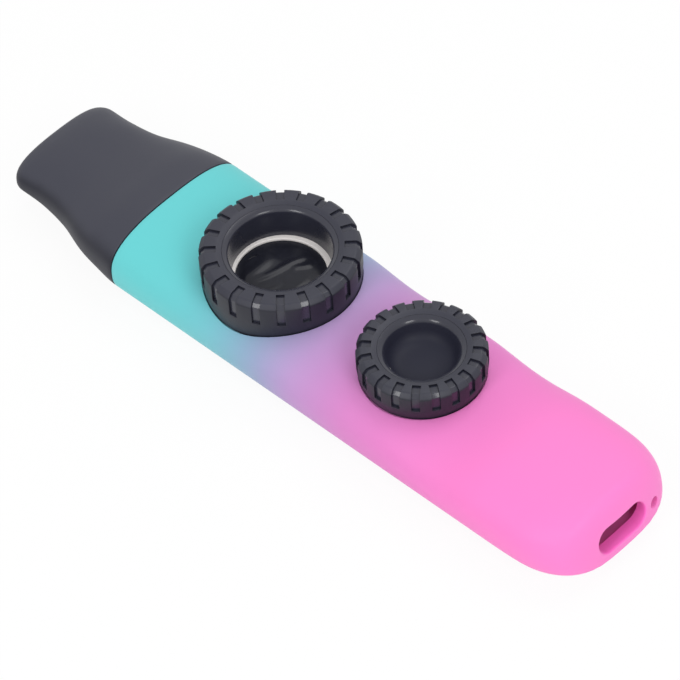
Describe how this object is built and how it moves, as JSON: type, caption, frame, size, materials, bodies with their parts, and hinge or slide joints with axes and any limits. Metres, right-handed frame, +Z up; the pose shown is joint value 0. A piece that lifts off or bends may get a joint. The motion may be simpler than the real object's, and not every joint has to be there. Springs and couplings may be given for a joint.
{
  "type": "kazoo",
  "caption": "Flat plastic kazoo with a duckbill mouthpiece, a screw-on ribbed membrane cap, a ribbed tone knob and a long round sound opening in its domed end.",
  "frame": {"origin": "under the middle of the length, on the flat face that the kazoo rests on", "axes": "+X along the body from the mouthpiece to the sound opening, +Z up out of the membrane cap, +Y to the side of the lanyard hole"},
  "size_m": [0.1368, 0.032, 0.0211],
  "materials": {
    "body_paint": "soft-touch paint that fades from turquoise through lilac to pink along the body",
    "satin_black": "satin moulded black",
    "seal_rubber": "dull rubber",
    "gloss_black": "glossy moulded black",
    "film": "thin wrinkled glossy film",
    "white_ring": "off-white satin",
    "sleeve_black": "satin black tread sleeve"
  },
  "bodies": {
    "case": {"body_shell": "body_paint", "membrane_collar": "gloss_black", "membrane_gasket": "seal_rubber", "membrane_film": "film", "valve_collar": "gloss_black"},
    "mouthpiece": {"mouthpiece": "satin_black", "mouthpiece_seal": "seal_rubber"},
    "slip_ring": {"membrane_ring": "white_ring"},
    "cap": {"cap_hub": "gloss_black", "cap_sleeve": "sleeve_black"},
    "valve": {"valve_plug": "white_ring", "valve_washer": "seal_rubber"},
    "knob": {"knob_hub": "gloss_black", "knob_sleeve": "sleeve_black"}
  },
  "joints": [
    {"name": "mouthpiece_pull", "type": "slide", "parent": "case", "child": "mouthpiece", "axis": [-1, 0, 0], "range_m": [0, 0.014]},
    {"name": "cap_rise", "type": "slide", "parent": "case", "child": "slip_ring", "axis": [0, 0, 1], "range_m": [0, 0.00751]},
    {"name": "cap_turn", "type": "hinge", "parent": "slip_ring", "child": "cap", "pos_m": [-0.01095, 0, 0.018], "axis": [0, 0, 1], "range_deg": [0, 1080]},
    {"name": "valve_rise", "type": "slide", "parent": "case", "child": "valve", "axis": [0, 0, 1], "range_m": [0, 0.00226]},
    {"name": "knob_turn", "type": "hinge", "parent": "valve", "child": "knob", "pos_m": [0.02245, 0, 0.017], "axis": [0, 0, 1], "range_deg": [0, 540]}
  ],
  "couplings": [
    {"joint": "cap_rise", "follows": "cap_turn", "m_per_rad": 0.00039789},
    {"joint": "valve_rise", "follows": "knob_turn", "m_per_rad": 0.00023873}
  ]
}
